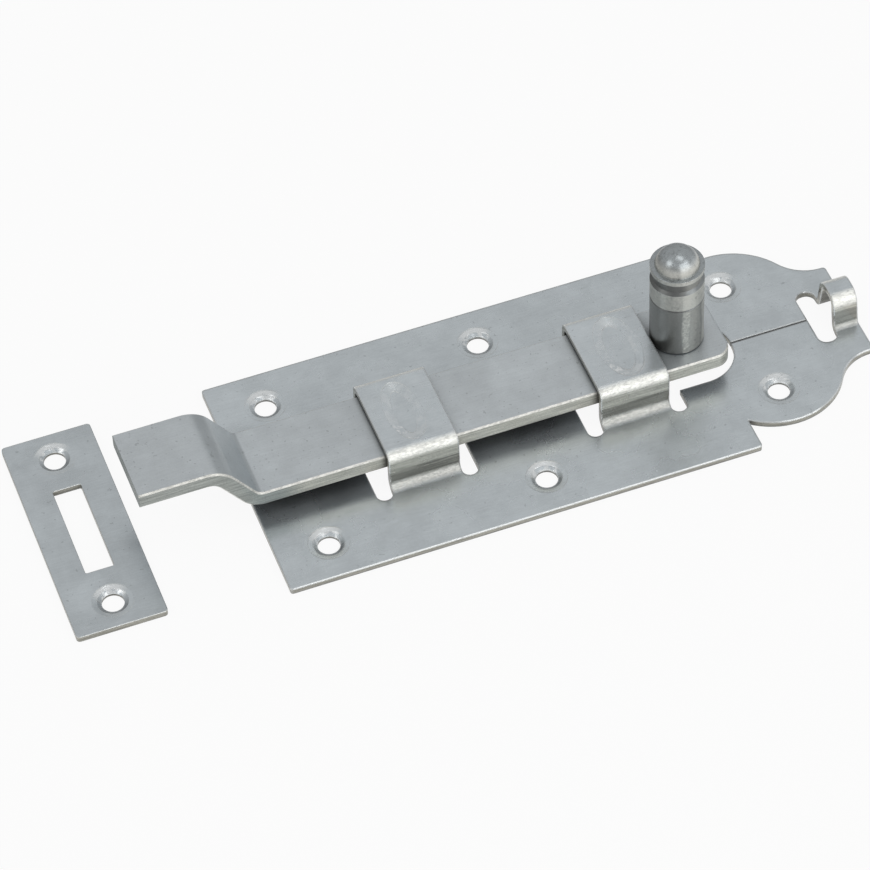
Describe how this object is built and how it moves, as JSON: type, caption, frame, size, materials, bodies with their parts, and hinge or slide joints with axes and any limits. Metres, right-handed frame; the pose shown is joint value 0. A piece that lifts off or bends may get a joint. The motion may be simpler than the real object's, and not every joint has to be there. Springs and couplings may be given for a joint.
{
  "type": "cranked barrel bolt",
  "caption": "Cranked flat barrel bolt on a pressed back plate with guide straps, round knob and padlock staple, with its separate strike plate.",
  "frame": {"origin": "centre of the four front screw holes, at the back face of the base plate", "axes": "+X along the bolt from its tip to the padlock staple, the way it is drawn back; +Y across the plate; +Z out of the door"},
  "size_m": [0.2, 0.0653, 0.0385],
  "materials": {
    "zinc_sheet": "zinc plated, satin, rolled grain and fine scuffs",
    "zinc_bar": "zinc plated flat bar, drawn along its length, duller at the crank",
    "turned_steel": "zinc plated over turning marks, brighter on the dome",
    "zinc_strike": "zinc plated, satin"
  },
  "bodies": {
    "plate": {"base_plate": "zinc_sheet", "strike_plate": "zinc_strike"},
    "bolt": {"bolt_bar": "zinc_bar", "bolt_knob": "turned_steel"}
  },
  "joints": [
    {"name": "bolt_slide", "type": "slide", "parent": "plate", "child": "bolt", "axis": [1, 0, 0], "range_m": [0, 0.027]}
  ]
}
